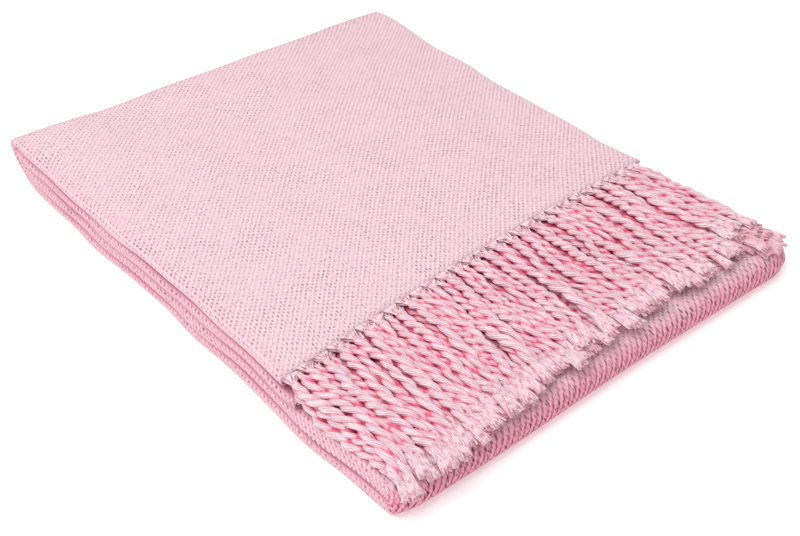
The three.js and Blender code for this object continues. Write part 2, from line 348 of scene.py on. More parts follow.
def bead_crease_shade(section, way):
    """Painted shade in the crease where the beads of two strips touch: 1 there, and 0 elsewhere. Below its
    middle the section faces the other strip of the upper or lower pair. Above it, it faces the strip
    between the pairs, which holds after the near fold and as far as the lower fringed end."""
    after_near_fold = np.arange(len(way)) > np.argmax(way[:, 0] > NEAR_X + LEVEL / 2 - 0.1)
    between_pairs = (after_near_fold * (1 - smooth(way[:, 0], UNDER_END, UNDER_END + 8)))[:, None]
    on_bead = smooth(-section[:, 0], HALF_WIDTH - 7, HALF_WIDTH - 5)[None, :]
    height = section[:, 1][None, :] / (1.5 * PLY_PITCH)
    above = between_pairs * smooth(height, CREASE_SHADE_START, CREASE_SHADE_FULL)
    return on_bead * np.maximum(smooth(-height, CREASE_SHADE_START, CREASE_SHADE_FULL), above)


def cell_quads(index):
    """Quads between the neighbours of a grid of vertex numbers."""
    return np.stack([index[:-1, :-1], index[:-1, 1:], index[1:, 1:], index[1:, :-1]], -1).reshape(-1, 4)


def mesh_piece(name, points, quads, corner_uv, material, attributes):
    """A smooth-shaded mesh object at the origin from points in mm, quads, a UV in mm for each corner,
    and attributes, as pairs of a name and a value for each point."""
    mesh = bpy.data.meshes.new(name)
    mesh.vertices.add(len(points))
    mesh.vertices.foreach_set("co", (np.asarray(points, np.float32) * MM).ravel())
    mesh.loops.add(quads.size)
    mesh.loops.foreach_set("vertex_index", quads.astype(np.int32).ravel())
    mesh.polygons.add(len(quads))
    mesh.polygons.foreach_set("loop_start", np.arange(0, quads.size, 4, dtype=np.int32))
    mesh.polygons.foreach_set("use_smooth", np.ones(len(quads), bool))
    layer = mesh.uv_layers.new(name="place")
    layer.data.foreach_set("uv", (np.asarray(corner_uv, np.float32) * MM).ravel())
    for label, values in attributes:
        attribute = mesh.attributes.new(label, "FLOAT", "POINT")
        attribute.data.foreach_set("value", values.astype(np.float32))
    mesh.update(calc_edges=True)
    mesh.materials.append(material)
    piece = bpy.data.objects.new(name, mesh)
    bpy.context.scene.collection.objects.link(piece)
    return piece


def closed_sheet(faces, uv):
    """Joins the two faces of a sheet round its four edges. Returns points, quads and corner UVs."""
    rows, columns = faces[0].shape[:2]
    outer = np.arange(rows * columns).reshape(rows, columns)
    inner = outer + rows * columns
    rim = np.concatenate([outer[0, :-1], outer[:-1, -1], outer[-1, :0:-1], outer[::-1, 0]])
    ribbon = np.stack([rim, rim + rows * columns])
    quads = np.concatenate([cell_quads(outer), cell_quads(inner)[:, ::-1], cell_quads(ribbon)[:, ::-1]])
    points = np.concatenate([face.reshape(-1, 3) for face in faces])
    flat_uv = np.concatenate([uv.reshape(-1, 2)] * 2)
    return points, quads, flat_uv[quads.ravel()]


# Shader helpers: most add a node or two and return the output socket of the last

def fed(tree, node, socket, value):
    """Links a socket into a node's input, or sets that input to a plain value."""
    if isinstance(value, bpy.types.NodeSocket):
        tree.links.new(value, node.inputs[socket])
    else:
        node.inputs[socket].default_value = value


def maths(tree, operation, *values):
    """One sum, product or other operation on values."""
    node = tree.nodes.new("ShaderNodeMath")
    node.operation = operation
    for number, value in enumerate(values):
        fed(tree, node, number, value)
    return node.outputs[0]


def cosine(tree, turns):
    """The cosine of a number of whole turns."""
    return maths(tree, "COSINE", maths(tree, "MULTIPLY", turns, 2 * math.pi))


def ramped(tree, value, low, high, low_out=0.0, high_out=1.0):
    """A smooth step of a value from low to high."""
    node = tree.nodes.new("ShaderNodeMapRange")
    node.interpolation_type = "SMOOTHSTEP"
    for socket, number in enumerate((value, low, high, low_out, high_out)):
        fed(tree, node, socket, number)
    return node.outputs[0]


def mixed(tree, share, first, second):
    """A mix of two colours."""
    node = tree.nodes.new("ShaderNodeMix")
    node.data_type = "RGBA"
    fed(tree, node, 0, share)
    fed(tree, node, 6, first)
    fed(tree, node, 7, second)
    return node.outputs[2]


def noise(tree, place, scale, detail=2.0):
    """Soft noise around 0.5, scale patches to a unit of the place."""
    node = tree.nodes.new("ShaderNodeTexNoise")
    fed(tree, node, "Vector", place)
    node.inputs["Scale"].default_value = scale
    node.inputs["Detail"].default_value = detail
    return node.outputs["Fac"]


def mesh_value(tree, label):
    """One of the mesh's own attributes."""
    node = tree.nodes.new("ShaderNodeAttribute")
    node.attribute_name = label
    return node.outputs["Fac"]


def parts_of(tree, place):
    """The first and the second part of a place."""
    node = tree.nodes.new("ShaderNodeSeparateXYZ")
    fed(tree, node, 0, place)
    return node.outputs[0], node.outputs[1]


def flat_place(tree, first, second):
    """A place from its first two parts."""
    node = tree.nodes.new("ShaderNodeCombineXYZ")
    fed(tree, node, 0, first)
    fed(tree, node, 1, second)
    return node.outputs[0]


def place_in_mm(tree):
    """The mesh's UV, in mm."""
    uv = tree.nodes.new("ShaderNodeUVMap")
    uv.uv_map = "place"
    node = tree.nodes.new("ShaderNodeVectorMath")
    node.operation = "SCALE"
    fed(tree, node, 0, uv.outputs[0])
    node.inputs["Scale"].default_value = 1 / MM
    return node.outputs[0]


def bumped(tree, height, strength, distance):
    """The normal over a height, whose 1 stands for a distance in mm."""
    node = tree.nodes.new("ShaderNodeBump")
    node.inputs["Strength"].default_value = strength
    node.inputs["Distance"].default_value = distance * MM
    fed(tree, node, "Height", height)
    return node.outputs[0]


def new_material(name, sheen):
    """A matt cotton material. Returns it, its tree and its shader."""
    material = bpy.data.materials.new(name)
    material.use_nodes = True
    shader = material.node_tree.nodes["Principled BSDF"]
    shader.inputs["Specular IOR Level"].default_value = 0.2
    shader.inputs["Sheen Weight"].default_value = sheen
    shader.inputs["Sheen Roughness"].default_value = 0.5
    return material, material.node_tree, shader


# The twill's repeat: soft diagonal ribs, and between them rows of small dark gaps, one to each
# crossing, that are longer along the warp. Round the folds a finer set of them opens too.
RIB_ALONG = 0.25
RIB_ACROSS = 0.234
CROSSING_ACROSS = 0.44
GAP_LENGTH = 1.15
GAP_WIDTH = 0.4
FOLD_GAP_LENGTH = 0.85
FOLD_GAP_WIDTH = 0.6
GAP_SHIFT = 1.3
FAINTEST_GAP = 0.25
FINE_SHARE = 1.6
FINE_GAP_LENGTH = 0.55
FINE_GAP_WIDTH = 0.42
WARP_PITCH = 1.135
WEAVE_WAVER = 0.8


def gap_rows(tree, u, v, finer, length, width):
    """Ellipses of a length along u and a width along v round the places where both alpha, the ribs'
    count, and beta, the crossings' count, are whole. Each has its own random strength and place.
    Returns them and alpha."""
    along, across, crossing = RIB_ALONG * finer, RIB_ACROSS * finer, CROSSING_ACROSS * finer
    alpha = maths(tree, "MULTIPLY_ADD", u, along, maths(tree, "MULTIPLY", v, across))
    beta = maths(tree, "MULTIPLY", v, crossing)
    nearest_alpha = maths(tree, "FLOOR", maths(tree, "ADD", alpha, 0.5))
    nearest_beta = maths(tree, "FLOOR", maths(tree, "ADD", beta, 0.5))
    off_v = maths(tree, "DIVIDE", maths(tree, "SUBTRACT", beta, nearest_beta), crossing)
    past_alpha = maths(tree, "SUBTRACT", alpha, nearest_alpha)
    off_alpha = maths(tree, "MULTIPLY_ADD", off_v, -across, past_alpha)
    random = tree.nodes.new("ShaderNodeTexWhiteNoise")
    fed(tree, random, "Vector", flat_place(tree, nearest_alpha, nearest_beta))
    random_parts = tree.nodes.new("ShaderNodeSeparateColor")
    fed(tree, random_parts, 0, random.outputs["Color"])
    random_shift = maths(tree, "SUBTRACT", random_parts.outputs[1], 0.5)
    random_shift = maths(tree, "MULTIPLY", random_shift, GAP_SHIFT / finer)
    off_u = maths(tree, "ADD", maths(tree, "DIVIDE", off_alpha, along), random_shift)
    long_part = maths(tree, "DIVIDE", off_u, length)
    wide_part = maths(tree, "DIVIDE", off_v, width)
    wide_square = maths(tree, "MULTIPLY", wide_part, wide_part)
    distance = maths(tree, "MULTIPLY_ADD", long_part, long_part, wide_square)
    strength = maths(tree, "MULTIPLY_ADD", random_parts.outputs[0], 1 - FAINTEST_GAP, FAINTEST_GAP)
    return maths(tree, "MULTIPLY", ramped(tree, distance, 0.3, 1.5, 1.0, 0.0), strength), alpha


def twill_group():
    """The dark gaps, the finer gaps of the folds, the ribs as a power of a cosine of alpha, and the
    height: ribs and warp threads less the gaps. Fold says how far the yarns part."""
    tree = bpy.data.node_groups.new("twill", "ShaderNodeTree")
    tree.interface.new_socket("Place", in_out="INPUT", socket_type="NodeSocketVector")
    tree.interface.new_socket("Fold", in_out="INPUT", socket_type="NodeSocketFloat")
    for label in ("Gaps", "Fine gaps", "Ribs", "Height"):
        tree.interface.new_socket(label, in_out="OUTPUT", socket_type="NodeSocketFloat")
    start, end = tree.nodes.new("NodeGroupInput"), tree.nodes.new("NodeGroupOutput")
    place, fold = start.outputs["Place"], start.outputs["Fold"]
    straight_u, straight_v = parts_of(tree, place)
    waver = maths(tree, "SUBTRACT", noise(tree, place, 0.15), 0.5)
    waver = maths(tree, "MULTIPLY", waver, 2 * WEAVE_WAVER)
    jitter = maths(tree, "SUBTRACT", noise(tree, place, 0.5), 0.5)
    u = maths(tree, "ADD", maths(tree, "ADD", straight_u, waver), jitter)
    v = maths(tree, "SUBTRACT", straight_v, waver)
    gap_length = maths(tree, "MULTIPLY_ADD", fold, FOLD_GAP_LENGTH - GAP_LENGTH, GAP_LENGTH)
    gap_width = maths(tree, "MULTIPLY_ADD", fold, FOLD_GAP_WIDTH - GAP_WIDTH, GAP_WIDTH)
    gaps, alpha = gap_rows(tree, u, v, 1.0, gap_length, gap_width)
    fine_gaps, _ = gap_rows(tree, u, v, FINE_SHARE, FINE_GAP_LENGTH, FINE_GAP_WIDTH)
    groove = maths(tree, "POWER", maths(tree, "MULTIPLY_ADD", cosine(tree, alpha), 0.5, 0.5), 2.5)
    ribs = maths(tree, "SUBTRACT", 1.0, groove)
    threads = cosine(tree, maths(tree, "DIVIDE", v, WARP_PITCH))
    height = maths(tree, "MULTIPLY_ADD", threads, 0.15, maths(tree, "MULTIPLY", ribs, 0.5))
    fed(tree, end, "Gaps", gaps)
    fed(tree, end, "Fine gaps", fine_gaps)
    fed(tree, end, "Ribs", ribs)
    fed(tree, end, "Height", maths(tree, "SUBTRACT", height, gaps))
    return tree


# The colours of the ribs, the ground between them and the dark gaps: on the flats, and round a fold, where
# the yarns part and painted shade makes them deeper and darker; and the painted shade in the creases
# between the beads
CLOTH_RIB = (0.87, 0.63, 0.70, 1)
CLOTH_GROUND = (0.82, 0.54, 0.61, 1)
CLOTH_GAP = (0.12, 0.07, 0.10, 1)
FOLD_SHADE_RIB = (0.85, 0.355, 0.465, 1)
FOLD_SHADE_GROUND = (0.60, 0.12, 0.22, 1)
FOLD_SHADE_GAP = (0.10, 0.01, 0.03, 1)
CREASE_SHADE = (0.62, 0.24, 0.34, 1)


def cloth_material():
    """Matt brushed cotton: pale ribs over a slightly deeper ground, with the dark gaps of the twill.
    Round the folds the yarns part, and the same pattern shows a deeper, darker pink that is painted shade.
    Painted shade also darkens the creases between the beads."""
    material, tree, shader = new_material("pink_twill", sheen=0.1)
    place = place_in_mm(tree)
    fold = mesh_value(tree, "fold")
    twill = tree.nodes.new("ShaderNodeGroup")
    twill.node_tree = twill_group()
    fed(tree, twill, "Place", place)
    fed(tree, twill, "Fold", fold)
    fuzz = noise(tree, place, 0.9, 3.0)
    patches = noise(tree, place, 0.035)
    ribs = maths(tree, "ADD", maths(tree, "MULTIPLY_ADD", fuzz, 0.9, -0.45), twill.outputs["Ribs"])
    # Round the folds the colours move towards a deeper, darker painted shade
    ground = mixed(tree, fold, CLOTH_GROUND, FOLD_SHADE_GROUND)
    colour = mixed(tree, ribs, ground, mixed(tree, fold, CLOTH_RIB, FOLD_SHADE_RIB))
    strength = maths(tree, "MAXIMUM", ramped(tree, patches, 0.35, 0.65, 0.6, 1.0), fold)
    dark = maths(tree, "MULTIPLY", twill.outputs["Gaps"], strength)
    fine = maths(tree, "MULTIPLY", twill.outputs["Fine gaps"], maths(tree, "MAXIMUM", fold, 0.3))
    dark = maths(tree, "MAXIMUM", dark, fine)
    colour = mixed(tree, dark, colour, mixed(tree, fold, CLOTH_GAP, FOLD_SHADE_GAP))
    # Painted shade in the creases between the beads
    colour = mixed(tree, mesh_value(tree, "crease_shade"), colour, CREASE_SHADE)
    height = maths(tree, "MULTIPLY_ADD", fuzz, 0.8, twill.outputs["Height"])
    fed(tree, shader, "Base Color", colour)
    fed(tree, shader, "Normal", bumped(tree, height, 0.5, 0.35))
    fed(tree, shader, "Roughness", ramped(tree, fuzz, 0.2, 0.8, 0.8, 0.95))
    return material


section = lengthwise_folds()
way, slanted = crosswise_folds()
faces, cloth_uv = cloth_grid(section, way, slanted)
points, quads, corner_uv = closed_sheet(faces, cloth_uv)
shift = np.array([-MIDDLE_X, -MIDDLE_Y, -points[:, 2].min()])
# Masks of painted shade: round the folds, where the yarns also part, and in the creases between the beads
masks = {"fold": yarn_parting_and_shade(section, way), "crease_shade": bead_crease_shade(section, way)}
cloth_attributes = [(label, np.tile(mask.ravel(), 2)) for label, mask in masks.items()]
cloth = mesh_piece("cloth_folded", points + shift, quads, corner_uv, cloth_material(), cloth_attributes)
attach(cloth, "root")
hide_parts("cloth")

# The fringe
# The cloth's own warp ends, 28 to a ply: each is two groups of yarn twisted together, gathered from
# about 11 mm of the cloth's end, with its last stretch left as a loose brush of cut yarn.

TASSELS = 28
SIDE_MARGIN = 3
TASSEL_PITCH = (WIDTH - 2 * SIDE_MARGIN) / TASSELS

# Each fringe, from the top down: the end and the ply that it grows from, how far it reaches, and how
# much further its last tassels do at the right. Every other one is set aside by half a pitch.
FRINGES = [
    {"end": "top", "ply": 0, "reach": 109, "right": -14},
    {"end": "top", "ply": 1, "reach": 109, "right": -14},
    {"end": "top", "ply": 2, "reach": 104, "right": -3},
    {"end": "top", "ply": 3, "reach": 104, "right": 8},
]
FRINGES += [{"end": "under", "ply": ply, "reach": 90, "right": 17} for ply in (3, 2, 1, 0)]
RIGHT_TASSELS = 5

# How far the tips drift sideways across the throw, by place across it from -1 to 1
SPLAY = [
    {"x": -1, "drift": 0},
    {"x": -0.3, "drift": -10},
    {"x": 0.3, "drift": -6},
    {"x": 1, "drift": 4},
]

# The pile is worked out in slices across the tassels. The under end's tassels start two slices on.
# FLOOR_REST is how high over its floor a tassel's middle stays, in radii.
SLICE = 5.7
SLICES = 20
FIRST_SLICE = {"top": 0, "under": 2}
PACKING_RADIUS = 2.65
TIP_PACKING_RADIUS = 2.0
FLOOR_REST = 0.9
TIP_RISE = 2 * LEVEL + 5

# The first roots stand in from the left side by ROOT_START, and ROOT_INSET more for each fringe further
# down. The middle lines keep within two limits, which move to the right with each fringe too.
ROOT_START = 5
ROOT_INSET = 1.2
LEFT_LIMIT = -0.5
LEFT_LIMIT_INSET = 2.2
RIGHT_LIMIT = -3
RIGHT_LIMIT_REACH = 0.7

# The share of each move that a tassel makes in one turn of the packing, and how far it sinks
TURNS = 120
PUSH_SHARE = 0.3
STRAIGHTEN_SHARE = 0.35
TIP_SHARE = 0.2
AIM_SHARE = 0.04
SINK = 0.25

# The directions that a tassel's cover is kept for, and how near, in radii, a neighbour covers it
DIRECTIONS = 8
COVER_FULL = 2.0
COVER_NONE = 3.4
fringe_rng = np.random.default_rng(5)


def pile_floor(x):
    """What the pile lies on: the top of the strip at level 1, and beyond it the near fold's round."""
    past = np.clip(x - NEAR_X, 0, LEVEL - 0.3)
    return STRIP / 2 + LEVEL / 2 + np.sqrt((LEVEL - 0.1) ** 2 - past**2)


def laid_out():
    """Every tassel's middle line before it settles, as (tassel, slice) arrays, with its fringe's number
    and its first slice. It starts at its ply's end, drifts and sways along y by sine waves, and falls
    evenly towards a rise over the floor that keeps the plies in order."""
    count = len(FRINGES) * TASSELS
    fringe = np.repeat(np.arange(len(FRINGES)), TASSELS)
    number = np.tile(np.arange(TASSELS), len(FRINGES))
    ply = np.array([row["ply"] for row in FRINGES])[fringe]
    top = np.array([row["end"] == "top" for row in FRINGES])[fringe]
    first_slice = np.array([FIRST_SLICE[row["end"]] for row in FRINGES])[fringe]
    root_y = -HALF_WIDTH + SIDE_MARGIN + TASSEL_PITCH * (number + 0.25 + fringe % 2 / 2)
    root_y = np.maximum(root_y, -HALF_WIDTH + ROOT_START + ROOT_INSET * fringe)
    ply_rise = (1.5 - ply) * PLY_PITCH * EDGE_SQUEEZE
    root_z = np.where(top, strip_height(3) + ply_rise, strip_height(2) - ply_rise)
    slices = np.arange(SLICES)
    share = np.clip((slices[None, :] - first_slice[:, None]) / (SLICES - 1 - first_slice[:, None]), 0, 1)
    drift = eased(SPLAY, "drift", root_y / HALF_WIDTH)[:, None] * share**1.3
    phase = fringe_rng.uniform(0, 2 * math.pi, (2, count, 1))
    sway = fringe_rng.uniform(1.5, 6.0, (count, 1)) * np.sin(4.5 * share + phase[0])
    sway = sway + fringe_rng.uniform(0.5, 2.5, (count, 1)) * np.sin(11.0 * share + phase[1])
    y = root_y[:, None] + drift + sway * np.clip(share * 4, 0, 1)
    order = np.where(top, 7 - ply, ply)[:, None]
    z = root_z[:, None] * (1 - share) + (TIP_RISE + order) * share
    x = TOP_END + slices[None, :] * SLICE + end_drift(root_y)[:, None] + 0 * y
    return x, y, z, fringe, first_slice


def neighbour_cover(dy, dz, distance, radius, pairs):
    """How closely neighbours lie on each side of every tassel in every slice, from 0 to 1: the most of
    the square of the cosine to a neighbour, times a smooth step of its distance."""
    cover = np.zeros(distance.shape[:2] + (DIRECTIONS,))
    for number in range(DIRECTIONS):
        direction = number * 2 * math.pi / DIRECTIONS
        facing = np.clip(-(dy * np.cos(direction) + dz * np.sin(direction)) / distance, 0, 1) ** 2
        nearness = 1 - smooth(distance, COVER_FULL * radius, COVER_NONE * radius)
        cover[:, :, number] = (facing * nearness * pairs).max(2)
    return cover.transpose(1, 0, 2)


def settled_pile():
    """Where every tassel's middle line runs, as (tassel, slice, xyz), and its cover. In each slice
    across the fringe a tassel is a disc. Discs sink a little, push each other apart, are drawn towards
    the straight line between their neighbours along the tassel, and rest on the pile's floor."""
    x, y, z, fringe, first_slice = laid_out()
    aim_y = y.copy()
    least_y = (-HALF_WIDTH + LEFT_LIMIT + LEFT_LIMIT_INSET * fringe)[:, None]
    greatest_y = (HALF_WIDTH + RIGHT_LIMIT + RIGHT_LIMIT_REACH * fringe)[:, None]
    slices = np.arange(SLICES)
    thinning = (slices / (SLICES - 1)) ** 1.5
    radius = PACKING_RADIUS + (TIP_PACKING_RADIUS - PACKING_RADIUS) * thinning
    floor = pile_floor(x) + radius[None, :] * FLOOR_REST
    free = slices[None, :] > first_slice[:, None]
    active = (slices[None, :] >= first_slice[:, None]).T
    pairs = active[:, :, None] & active[:, None, :] & ~np.eye(len(y), dtype=bool)[None]
    reach = (2 * radius)[:, None, None]
    turns = TURNS
    for turn in range(turns):
        dy = (y.T[:, :, None] - y.T[:, None, :]).astype(np.float32)
        dz = (z.T[:, :, None] - z.T[:, None, :]).astype(np.float32)
        distance = np.sqrt(dy * dy + dz * dz) + 1e-3
        push = np.where(pairs & (distance < reach), (reach - distance) / distance * PUSH_SHARE, 0)
        y = y + np.where(free, (push * dy).sum(2).T, 0)
        z = z + np.where(free, (push * dz).sum(2).T, 0)
        for line in (y, z):
            middle = (line[:, :-2] + line[:, 2:]) / 2
            line[:, 1:-1] += np.where(free[:, 1:-1], STRAIGHTEN_SHARE * (middle - line[:, 1:-1]), 0)
            line[:, -1] += TIP_SHARE * (2 * line[:, -2] - line[:, -3] - line[:, -1])
        y = y + np.where(free, AIM_SHARE * (aim_y - y), 0)
        z = np.where(free, np.maximum(z - SINK * (1 - turn / turns), floor), z)
        y = np.where(free, np.clip(y, least_y, greatest_y), y)
    cover = neighbour_cover(dy, dz, distance, radius[:, None, None], pairs)
    return np.stack([x, y, z], -1), cover


EXTRA_SLICES = 4
TIP_DROOP = 0.3


def carried_on(path, cover):
    """Carries each path on past its last slice, straight but drooping more and more, with the cover of
    that slice."""
    extra = np.arange(1, EXTRA_SLICES + 1)[None, :, None]
    more = path[:, -1:] + extra * (path[:, -1:] - path[:, -2:-1])
    more[..., 2] -= TIP_DROOP * extra[..., 0] ** 2
    more_cover = np.repeat(cover[:, -1:], EXTRA_SLICES, 1)
    return np.concatenate([path, more], 1), np.concatenate([cover, more_cover], 1)


def resampled(path, steps):
    """A smooth curve through each path's points: cubic with the slopes of their neighbours."""
    points = path.shape[1]
    at = np.linspace(0, points - 1, steps)
    low = np.clip(np.floor(at).astype(int), 0, points - 2)
    t = (at - low)[None, :, None]
    slope = np.gradient(path, axis=1)
    first, second = path[:, low], path[:, low + 1]
    return ((2 * t**3 - 3 * t**2 + 1) * first + (t**3 - 2 * t**2 + t) * slope[:, low]
            + (3 * t**2 - 2 * t**3) * second + (t**3 - t**2) * slope[:, low + 1])


LINE_STEPS = 120


class TasselLines:
    """The middle lines of a fringe's tassels, and how closely their neighbours cover them."""

    def __init__(self, path, cover):
        self.cover = cover
        self.count, self.slices = path.shape[:2]
        self.fine = resampled(path, LINE_STEPS)
        self.travel = lengths_along(self.fine)

    def at(self, lengths):
        """Places at given lengths along each line, and the two axes across it there: level, and up."""
        places = np.empty((self.count, lengths.shape[1], 3))
        for axis in range(3):
            for tassel in range(self.count):
                line = self.fine[tassel, :, axis]
                places[tassel, :, axis] = np.interp(lengths[tassel], self.travel[tassel], line)
        way = np.gradient(places, axis=1)
        way /= np.linalg.norm(way, axis=2, keepdims=True)
        across = np.cross(np.array([0.0, 0.0, 1.0]), way)
        across /= np.linalg.norm(across, axis=2, keepdims=True)
        return places, across, np.cross(way, across)

    def covered(self, lengths, out_across, out_up):
        """The cover at a length along each tassel, towards the side that a place lies on: linear
        between slices and between the directions."""
        steps = np.linspace(0, self.slices - 1, LINE_STEPS)
        at = np.stack([np.interp(row, along, steps) for row, along in zip(lengths, self.travel)])
        at = at.reshape(at.shape + (1,) * (out_across.ndim - at.ndim)) + 0 * out_across
        turn = np.mod(np.arctan2(out_up, out_across) / (2 * math.pi / DIRECTIONS), DIRECTIONS)
        row, side = np.clip(at.astype(int), 0, self.slices - 2), turn.astype(int) % DIRECTIONS
        next_side = (side + 1) % DIRECTIONS
        along_share, turn_share = at - row, turn - np.floor(turn)
        tassel = np.arange(self.count).reshape((self.count,) + (1,) * (at.ndim - 1)) + 0 * row
        here, further = [
            self.cover[tassel, place, side] * (1 - turn_share)
            + self.cover[tassel, place, next_side] * turn_share
            for place in (row, row + 1)
        ]
        return here * (1 - along_share) + further * along_share


TUBE_SHIFT = 3.7


def rings(across, up, sides):
    """A ring round each place from its two axes: across times the cosine plus up times the sine."""
    angles = np.linspace(0, 2 * math.pi, sides, endpoint=False)
    return (across[:, :, None] * np.cos(angles)[None, None, :, None]
            + up[:, :, None] * np.sin(angles)[None, None, :, None])


def tubes(centres, ring, radii, painted_shade, girth=0.0):
    """Closed tubes along many paths: rings times a radius round each centre. Arrays are (tube, place,
    ...), and the painted shade is one value for each point, or is spread over them. Returns points, quads,
    corner UVs in mm, with u going once round in the girth, and the painted shade of each point."""
    points = centres[:, :, None] + radii[:, :, None, None] * ring
    count, places, sides = points.shape[:3]
    index = np.arange(count * places * sides).reshape(count, places, sides)
    wrapped = np.concatenate([index, index[:, :, :1]], 2)
    low, high = wrapped[:, :-1], wrapped[:, 1:]
    quads = np.stack([low[..., :-1], low[..., 1:], high[..., 1:], high[..., :-1]], -1)
    v = np.broadcast_to(lengths_along(centres)[:, :, None], (count, places, sides))
    u = np.broadcast_to(np.arange(sides)[None, None, :], (count, places - 1, sides))
    corners = [(u, v[:, :-1]), (u + 1, v[:, :-1]), (u + 1, v[:, 1:]), (u, v[:, 1:])]
    uv = np.stack([np.stack(corner, -1) for corner in corners], 3)
    uv[..., 0] *= girth / sides
    uv[..., 0] += TUBE_SHIFT * np.arange(count)[:, None, None, None]
    caps = []
    for place, turned in ((0, True), (places - 1, False)):
        rim = index[:, place]
        for k in range(sides // 2 - 1):
            cap = np.stack([rim[:, k], rim[:, k + 1], rim[:, sides - 2 - k], rim[:, sides - 1 - k]], 1)
            caps.append(cap[:, ::-1] if turned else cap)
    cap_quads = np.concatenate(caps)
    quads = np.concatenate([quads.reshape(-1, 4), cap_quads])
    uv = np.concatenate([uv.reshape(-1, 2), np.zeros((cap_quads.size, 2))])
    return points.reshape(-1, 3), quads, uv, np.broadcast_to(painted_shade, points.shape[:3]).ravel()


def gathered(parts):
    """Several sets of tubes as one mesh."""
    points, quads, uvs, painted_shades = zip(*parts)
    offsets = np.cumsum([0] + [len(part) for part in points[:-1]])
    quads = [part + offset for part, offset in zip(quads, offsets)]
    return [np.concatenate(column) for column in (points, quads, uvs, painted_shades)]


STRAND_START = 4.5
STRAND_STEPS = 54
STRAND_SIDES = 8
STRAND_RADIUS = 2.0
STRAND_OFFSET = 1.05
STRAND_GIRTH = 12
STRAND_END = 0.4
FLATTEN_ACROSS = 1.18
FLATTEN_UP = 0.9
TWIST_PITCH = 17
WOBBLE = 0.5
BRUSH = 14


def twisted_strands(lines, reach, rng):
    """The two strands of each tassel, wound round each other: each middle goes round the tassel's line
    once in a pitch, which wavers. They swell out of the fan, and thin as they open into the brush. They
    carry painted shade where a strand faces its partner or the floor, and where a neighbour covers the
    tassel."""
    start, stop = STRAND_START, reach - BRUSH + 3
    length = start + (stop - start) * np.linspace(0, 1, STRAND_STEPS)[None, :]
    centre, across, up = lines.at(length)
    beat = rng.uniform(0, 2 * math.pi, (2, lines.count, 1))
    wobble = WOBBLE * smooth(length, start, start + 12)
    centre = centre + (wobble * np.sin(length / 3.7 + beat[0]))[..., None] * across
    centre = centre + (0.6 * wobble * np.sin(length / 4.9 + beat[1]))[..., None] * up
    wide, flat = across * FLATTEN_ACROSS, up * FLATTEN_UP
    ring = rings(wide, flat, STRAND_SIDES)
    phase = rng.uniform(0, 2 * math.pi, (lines.count, 1))
    pitch = TWIST_PITCH * rng.uniform(0.85, 1.35, (lines.count, 1))
    angle = phase - 2 * math.pi * length / pitch + 0.9 * np.sin(length / 13 + 3 * phase)
    size = rng.uniform(0.88, 1.1, (lines.count, 1))
    size = size * (1 + 0.09 * np.sin(length / 9 + 2 * beat[0]))
    opening = 1 - 0.25 * smooth(length, stop - 8, stop)
    swell = size * (0.45 + 0.55 * smooth(length, start, start + 7)) * opening
    radii = STRAND_RADIUS * swell
    radii[:, [0, -1]] *= STRAND_END
    parts = []
    for turn in (angle, angle + math.pi):
        outward = np.cos(turn)[..., None] * wide + np.sin(turn)[..., None] * flat
        middle = centre + (STRAND_OFFSET * swell)[..., None] * outward
        facing_in = 0.5 - 0.5 * (ring * outward[:, :, None]).sum(-1)
        out = (STRAND_OFFSET * outward)[:, :, None] + STRAND_RADIUS * ring
        out_across, out_up = (out * across[:, :, None]).sum(-1), (out * up[:, :, None]).sum(-1)
        below = smooth(-(ring * up[:, :, None]).sum(-1), -0.1, 0.9)
        near = lines.covered(length, out_across, out_up)
        # Painted shade: deeper pink where a strand faces its partner, faces down or is covered by a
        # neighbour
        painted_shade = np.clip(0.9 * smooth(facing_in, 0.35, 1) + near + 0.7 * below, 0, 1)
        parts.append(tubes(middle, ring, radii, painted_shade, STRAND_GIRTH))
    return parts


YARN_RADIUS = 0.48


def loose_yarns(lines, span, offset_across, offset_up, near, rng):
    """Thin yarns at given lengths along each tassel, each at its own offsets from the tassel's middle.
    Offsets and near, the painted shade of their colour, are (yarn, tassel, place) arrays."""
    steps = span.shape[1]
    middle, across, up = lines.at(span)
    routes = middle[None] + offset_across[..., None] * across[None] + offset_up[..., None] * up[None]
    across = np.broadcast_to(across[None], routes.shape).reshape(-1, steps, 3)
    up = np.broadcast_to(up[None], routes.shape).reshape(-1, steps, 3)
    routes = routes.reshape(-1, steps, 3)
    thick = YARN_RADIUS * rng.uniform(0.8, 1.2, (len(routes), 1)) * np.ones((1, steps))
    return tubes(routes, rings(across, up, 4), thick, near.reshape(-1, steps, 1))


FAN_START = -1.5
FAN_REACH = 10
FAN_YARNS = 12
FAN_STEPS = 6
WEB_DROP = 0.7
WEB_HOLD = 0.35
WEB_SIDES = 8
WEB_GIRTH = 24
# The even painted shade of the web under the fans
WEB_SHADE = 0.5


